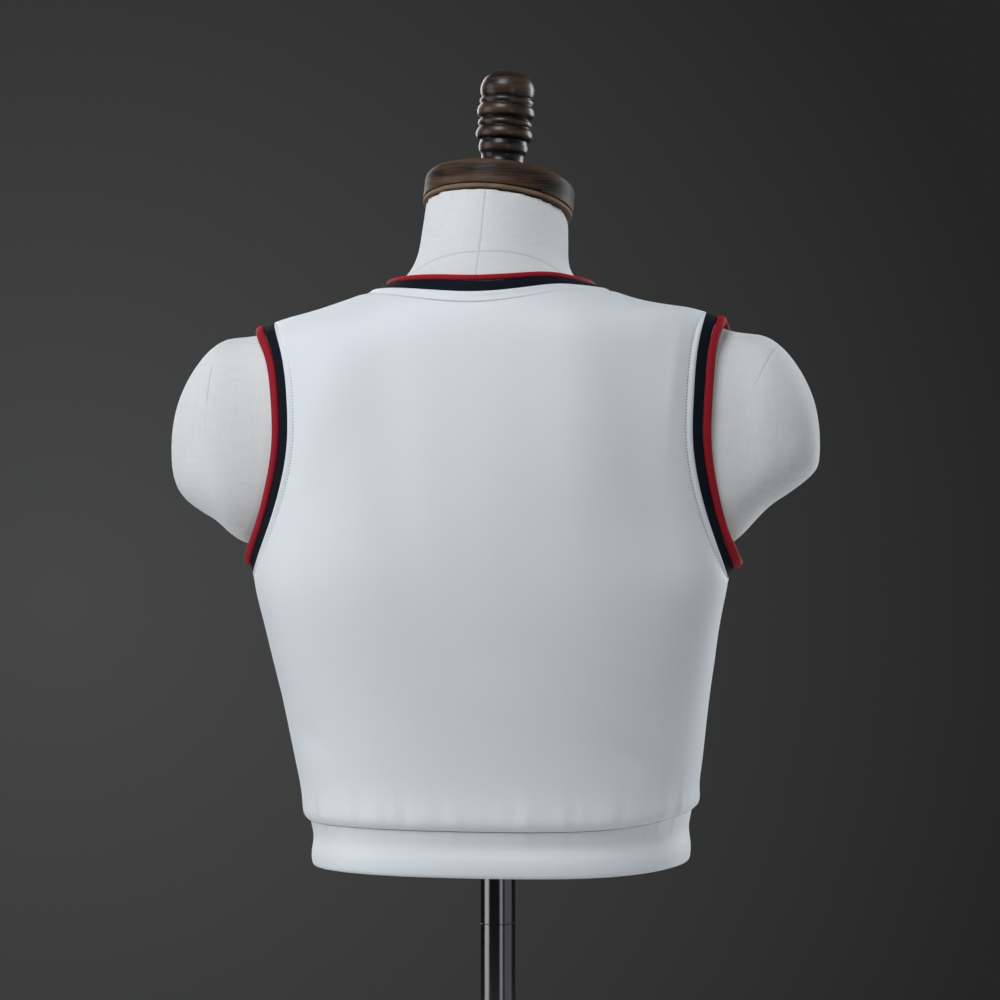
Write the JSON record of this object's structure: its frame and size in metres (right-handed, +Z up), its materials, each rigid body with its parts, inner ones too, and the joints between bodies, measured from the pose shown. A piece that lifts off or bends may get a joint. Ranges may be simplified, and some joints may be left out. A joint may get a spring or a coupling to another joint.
{
  "type": "cropped football tank top on a limbless dress form with a table stand",
  "caption": "Cropped sleeveless football top in white stretch knit with navy and red ribbed neck and armholes, worn on a linen dress form with shoulder caps, wooden knob and chrome pole.",
  "frame": {"origin": "on the surface the stand rests on, under the middle of the base and the pole", "axes": "+Z up, the garment's front faces -Y and its back +Y, the wearer's left is +X"},
  "size_m": [0.4732, 0.32, 0.843],
  "materials": {
    "white_knit": "smooth white stretch knit",
    "navy_rib": "fine navy rib knit",
    "red_rib": "red rib knit, rolled edge",
    "linen": "pale linen cover, close weave",
    "dark_wood": "dark stained and glossy",
    "tan_wood": "plain pale wood",
    "chrome": "polished tube",
    "painted_steel": "satin dark paint"
  },
  "bodies": {
    "root": {"back_panel": "white_knit", "front_panel": "white_knit", "hem_band": "white_knit", "neck_band": "navy_rib", "armhole_band_left": "navy_rib", "armhole_band_right": "navy_rib", "neck_edge": "red_rib", "armhole_edge_left": "red_rib", "armhole_edge_right": "red_rib", "form_body": "linen", "cap_strip": "tan_wood", "neck_cap": "dark_wood", "finial": "dark_wood", "mount_flange": "chrome", "pole_upper": "chrome", "pole_lower": "chrome", "base_plate": "painted_steel"}
  },
  "joints": []
}
